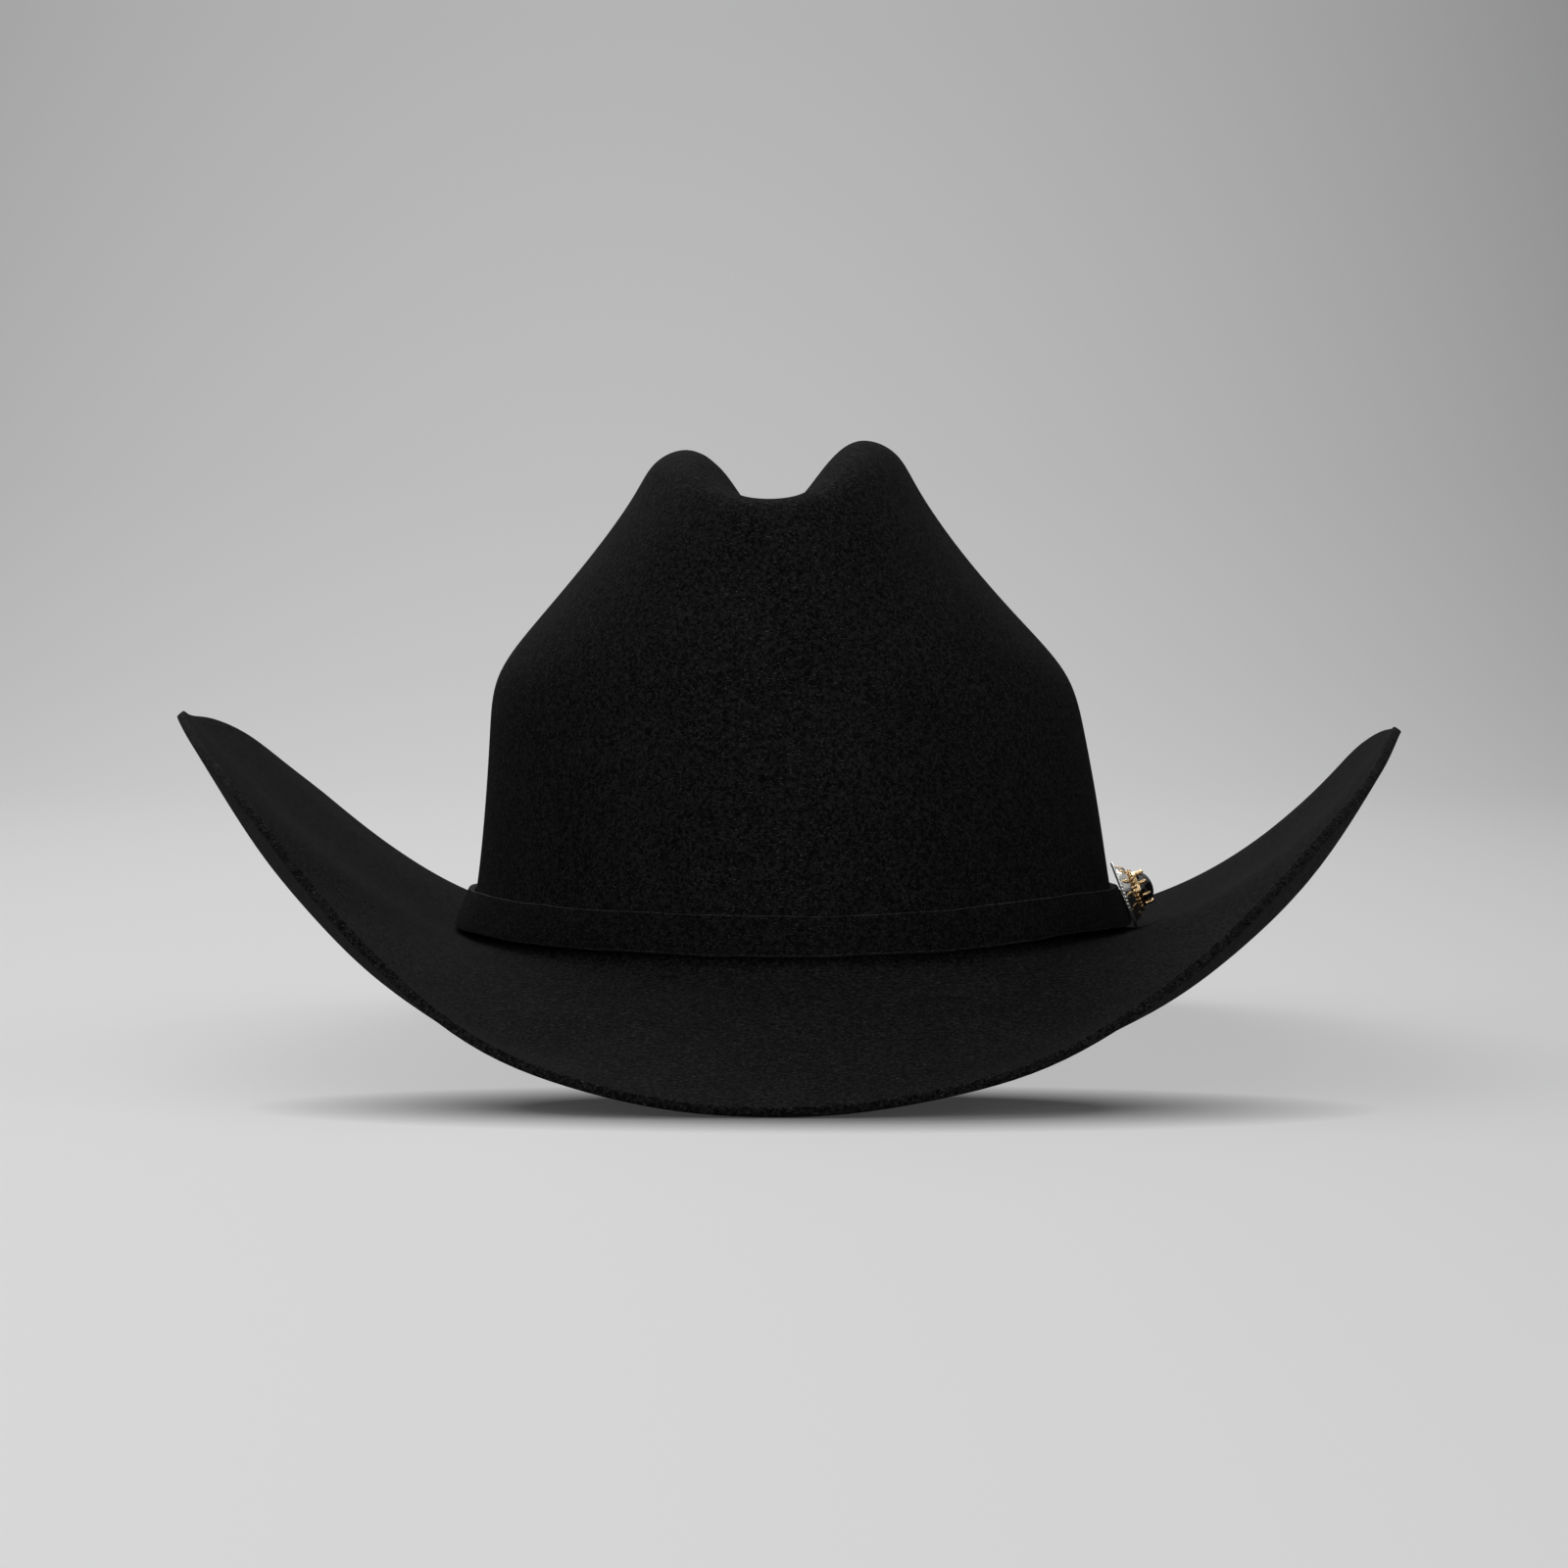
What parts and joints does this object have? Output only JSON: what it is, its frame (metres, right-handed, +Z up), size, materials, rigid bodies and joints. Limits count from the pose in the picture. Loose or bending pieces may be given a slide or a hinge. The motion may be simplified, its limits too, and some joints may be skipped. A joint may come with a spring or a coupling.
{
  "type": "cowboy hat",
  "caption": "Felt cowboy hat with a creased crown, a brim rolled up at the sides and dipped front and back, a felt band with a screw-on concho, a sweatband and a satin lining.",
  "frame": {"origin": "middle of the hat's footprint, on the surface it stands on", "axes": "+Z up; +Y from the front of the hat to the back; +X towards the wearer's left, where the concho is"},
  "size_m": [0.3227, 0.3994, 0.1612],
  "materials": {
    "felt": "matt black fur felt with a short nap and fine pale fibres",
    "band_felt": "matt black felt strip with raw cut edges",
    "black_thread": "waxed black thread",
    "silver": "polished silver plate, slightly tarnished in the hollows",
    "gold": "antiqued gold plate, bright on the high spots",
    "onyx": "polished black stone",
    "steel": "nickel-plated steel",
    "leather": "smooth brown sweatband leather with a fine grain",
    "reed_plastic": "flexible reed",
    "tape": "woven cotton tape",
    "tan_thread": "tan polyester thread",
    "ribbon": "black grosgrain ribbon",
    "tag_cloth": "blank woven tag",
    "satin": "champagne satin",
    "piping": "satin piping",
    "satin_thread": "fine thread",
    "clear_film": "clear flexible film"
  },
  "bodies": {
    "hat": {"felt_body": "felt", "hatband": "band_felt", "hatband_join_stitches": "black_thread", "sweatband_sewing": "black_thread", "sweatband": "leather", "sweatband_reed": "reed_plastic", "reed_cover": "tape", "sweatband_stitches": "tan_thread", "sweatband_back_seam": "tan_thread", "sweatband_bow": "ribbon", "sweatband_tag": "tag_cloth", "lining_side": "satin", "lining_tip": "satin", "lining_piping": "piping", "lining_stitches": "satin_thread", "tip_shield": "clear_film"},
    "concho": {"concho_plate": "silver", "concho_relief": "gold", "concho_beads": "gold", "stone_setting": "gold", "onyx_stone": "onyx", "concho_post": "steel", "concho_washer": "steel", "concho_screw": "steel"}
  },
  "joints": [
    {"name": "concho_turn", "type": "hinge", "parent": "hat", "child": "concho", "pos_m": [0.08857, 0.00015, 0.03993], "axis": [0.9311, 0, 0.3648], "continuous": true}
  ]
}
